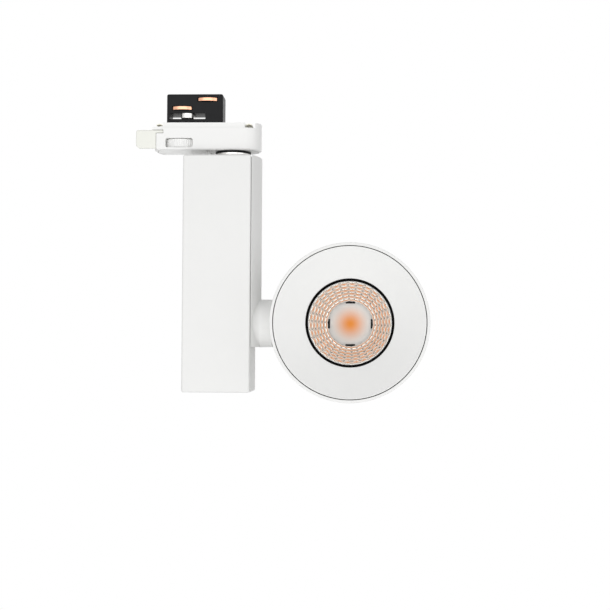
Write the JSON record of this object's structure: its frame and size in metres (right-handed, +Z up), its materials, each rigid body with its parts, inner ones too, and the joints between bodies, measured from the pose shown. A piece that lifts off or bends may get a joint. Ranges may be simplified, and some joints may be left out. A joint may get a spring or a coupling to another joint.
{
  "type": "track spotlight",
  "caption": "White track spotlight: track adapter with lock lever and selector wheel, swivelling driver box with a side arm, and a tilting round head with funnel bezel and facetted reflector.",
  "frame": {"origin": "on the swivel axis, in the plane where the adapter's shoulder bears on the track's underside", "axes": "+Z up into the track, +X from the driver box towards the lamp head, the lamp faces -Y"},
  "size_m": [0.1829, 0.09, 0.1921],
  "materials": {
    "white_paint": "matt white powder coat on aluminium",
    "white_plastic": "satin white moulded plastic",
    "cream_plastic": "satin warm white moulded plastic",
    "black_plastic": "matt black moulded plastic",
    "grey_plastic": "grey moulded plastic",
    "steel": "bright zinc-plated steel",
    "brass": "nickel-brass strip",
    "copper": "copper strip",
    "aluminium": "bare cast aluminium",
    "mirror_coating": "vacuum-coated facetted mirror",
    "frosted_cover": "frosted translucent plastic",
    "phosphor": "orange phosphor of a light source that is off",
    "board_green": "green circuit board",
    "dark_ferrite": "dark ferrite and tape",
    "capacitor_sleeve": "shrink sleeve"
  },
  "bodies": {
    "adapter": {"adapter_housing": "white_plastic", "adapter_cover": "white_plastic", "cover_screw_1": "steel", "cover_screw_2": "steel", "track_tongue": "black_plastic", "contact_circuit_1": "copper", "contact_circuit_2": "copper", "contact_circuit_3": "copper", "contact_neutral": "copper", "earth_spring_left": "brass", "earth_spring_right": "brass", "swivel_nipple": "steel", "nipple_nut_upper": "steel", "nipple_nut_lower": "steel", "friction_disc": "black_plastic", "swivel_collar": "steel", "swivel_washer": "steel"},
    "lever": {"lock_lever": "cream_plastic", "lock_shaft": "steel", "lock_cam": "steel"},
    "selector": {"selector_wheel": "white_plastic"},
    "driver_box": {"driver_housing": "white_paint", "rear_cover": "white_paint", "rear_cover_screw_1": "steel", "rear_cover_screw_2": "steel", "rear_cover_screw_3": "steel", "rear_cover_screw_4": "steel", "driver_board": "board_green", "board_standoff_1": "brass", "board_standoff_2": "brass", "board_standoff_3": "brass", "board_standoff_4": "brass", "terminal_block": "grey_plastic", "choke": "dark_ferrite", "transformer": "dark_ferrite", "capacitor_1": "capacitor_sleeve", "capacitor_2": "capacitor_sleeve", "side_arm": "white_paint", "arm_screw_1": "steel", "arm_screw_2": "steel", "pivot_stub": "white_paint", "tilt_friction_washer": "black_plastic"},
    "head": {"head_barrel": "white_paint", "heat_sink": "aluminium", "sink_screw_1": "steel", "sink_screw_2": "steel", "sink_screw_3": "steel", "front_bezel": "white_paint", "baffle_ring": "black_plastic", "reflector": "mirror_coating", "diffuser_disc": "frosted_cover", "diffuser_clip": "black_plastic", "led_holder": "white_plastic", "holder_screw_1": "steel", "holder_screw_2": "steel", "led_board": "aluminium", "led_phosphor": "phosphor", "tilt_bolt": "steel", "spring_washer": "steel", "tilt_nut": "steel"}
  },
  "joints": [
    {"name": "swivel", "type": "hinge", "parent": "adapter", "child": "driver_box", "pos_m": [0, 0, -0.019], "axis": [0, 0, 1], "range_deg": [-175, 175]},
    {"name": "tilt", "type": "hinge", "parent": "driver_box", "child": "head", "pos_m": [0.0746, 0, -0.1256], "axis": [1, 0, 0], "range_deg": [0, 90]},
    {"name": "lever_swing", "type": "hinge", "parent": "adapter", "child": "lever", "pos_m": [-0.0285, 0, -0.0055], "axis": [0, 0, 1], "range_deg": [-90, 0]},
    {"name": "selector_turn", "type": "hinge", "parent": "adapter", "child": "selector", "pos_m": [-0.0332, 0, -0.0125], "axis": [0, 0, 1], "range_deg": [0, 120]}
  ]
}
